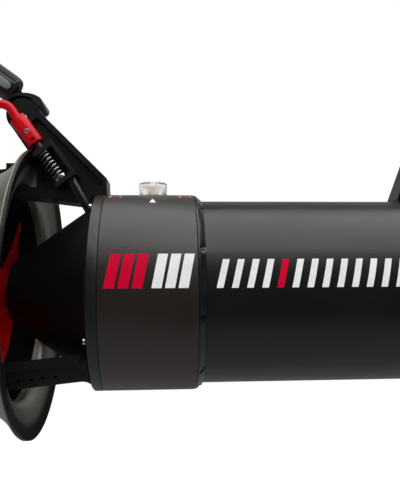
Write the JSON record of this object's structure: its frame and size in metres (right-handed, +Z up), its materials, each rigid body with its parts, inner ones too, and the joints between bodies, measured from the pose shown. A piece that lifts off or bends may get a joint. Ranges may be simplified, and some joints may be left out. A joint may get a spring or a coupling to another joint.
{
  "type": "underwater scooter",
  "caption": "Torpedo-shaped underwater scooter with a round hull, ducted propeller, pistol grip, sprung trigger rod, speed dial and carry handle.",
  "frame": {"origin": "on the hull's axis, at the joint between the tail section and the pressure tube", "axes": "+X along the hull's axis towards the nose, +Y to port, +Z up through the handle"},
  "size_m": [0.9138, 0.2948, 0.4263],
  "materials": {
    "hull_black": "black hard-anodised aluminium, fine satin",
    "tail_grey": "warm dark grey anodised aluminium, satin",
    "ring_dark": "dark grey anodised aluminium, satin",
    "bevel_dark": "dark anodised bevel",
    "cone_black": "black moulded plastic, fine texture",
    "shroud_grey": "grey moulded plastic, satin",
    "liner_black": "black moulded plastic",
    "beam_black": "black machined plastic, rounded edges",
    "grip_rubber": "black ribbed rubber",
    "bracket_black": "black powder coat",
    "seal_rubber": "black nitrile",
    "steel": "stainless steel",
    "spring_steel": "drawn stainless wire",
    "trigger_red": "red anodised aluminium, gloss",
    "propeller_red": "red moulded plastic",
    "dial_clear": "clear moulded plastic",
    "dial_white": "white plastic",
    "aluminium_raw": "machined aluminium",
    "magnet": "nickel-plated magnet",
    "iron": "laminated steel",
    "copper": "enamelled copper wire",
    "board_green": "glass-fibre board",
    "capacitor_black": "sleeved can",
    "battery_blue": "shrink-wrapped cells",
    "lead_red": "silicone lead",
    "lead_metal": "cast lead"
  },
  "bodies": {
    "hull": {"hull_tube": "hull_black", "nose_cap": "cone_black", "nose_o_rings": "seal_rubber", "nose_screws": "steel", "joint_ring": "bevel_dark", "joint_screws": "steel", "tail_housing": "tail_grey", "tail_ring": "ring_dark", "top_arm": "ring_dark", "near_arm": "ring_dark", "far_arm": "ring_dark", "ring_screws": "steel", "stern_cone": "cone_black", "bulkhead": "aluminium_raw", "tail_o_rings": "seal_rubber", "shroud_bell": "shroud_grey", "throat_liner": "liner_black", "shroud_screws": "steel", "tow_eye": "beam_black", "tow_eye_screws": "steel", "handle_beam": "beam_black", "beam_bolts": "steel", "hand_guard": "beam_black", "grip_sleeve": "grip_rubber", "grip_cap": "beam_black", "grip_bolt": "steel", "spring_bracket": "bracket_black", "bracket_screws": "steel", "return_spring": "spring_steel", "carry_handle": "beam_black", "carry_handle_bolts": "steel", "stator": "iron", "windings": "copper", "motor_housing": "aluminium_raw", "front_bearing": "steel", "rear_bearing": "steel", "shaft_seal": "seal_rubber", "sensor_board": "board_green", "controller_plate": "aluminium_raw", "controller_board": "board_green", "capacitors": "capacitor_black", "battery_rear": "battery_blue", "battery_front": "battery_blue", "battery_rails": "steel", "battery_plates": "aluminium_raw", "power_leads": "lead_red", "trim_weight": "lead_metal"},
    "trigger": {"pushrod": "bracket_black", "rod_magnet": "magnet", "spring_collar": "steel", "trigger_sleeve": "trigger_red", "sleeve_screws": "steel", "trigger_bar": "trigger_red"},
    "dial": {"speed_dial": "dial_clear", "dial_spindle": "dial_white"},
    "screw": {"propeller": "propeller_red", "prop_nut": "steel", "prop_shaft": "steel", "rotor": "iron", "rotor_magnets": "magnet"}
  },
  "joints": [
    {"name": "propeller_spin", "type": "hinge", "parent": "hull", "child": "screw", "pos_m": [-0.21, 0, 0], "axis": [1, 0, 0], "continuous": true},
    {"name": "trigger_pull", "type": "slide", "parent": "hull", "child": "trigger", "axis": [-0.5948, 0, 0.8039], "range_m": [0, 0.01], "stiffness_N_per_m": 700, "springref_m": -0.012, "deforming": ["return_spring"]},
    {"name": "dial_turn", "type": "hinge", "parent": "hull", "child": "dial", "pos_m": [-0.049, 0, 0.1], "axis": [0, 0, 1], "range_deg": [-120, 120]}
  ]
}
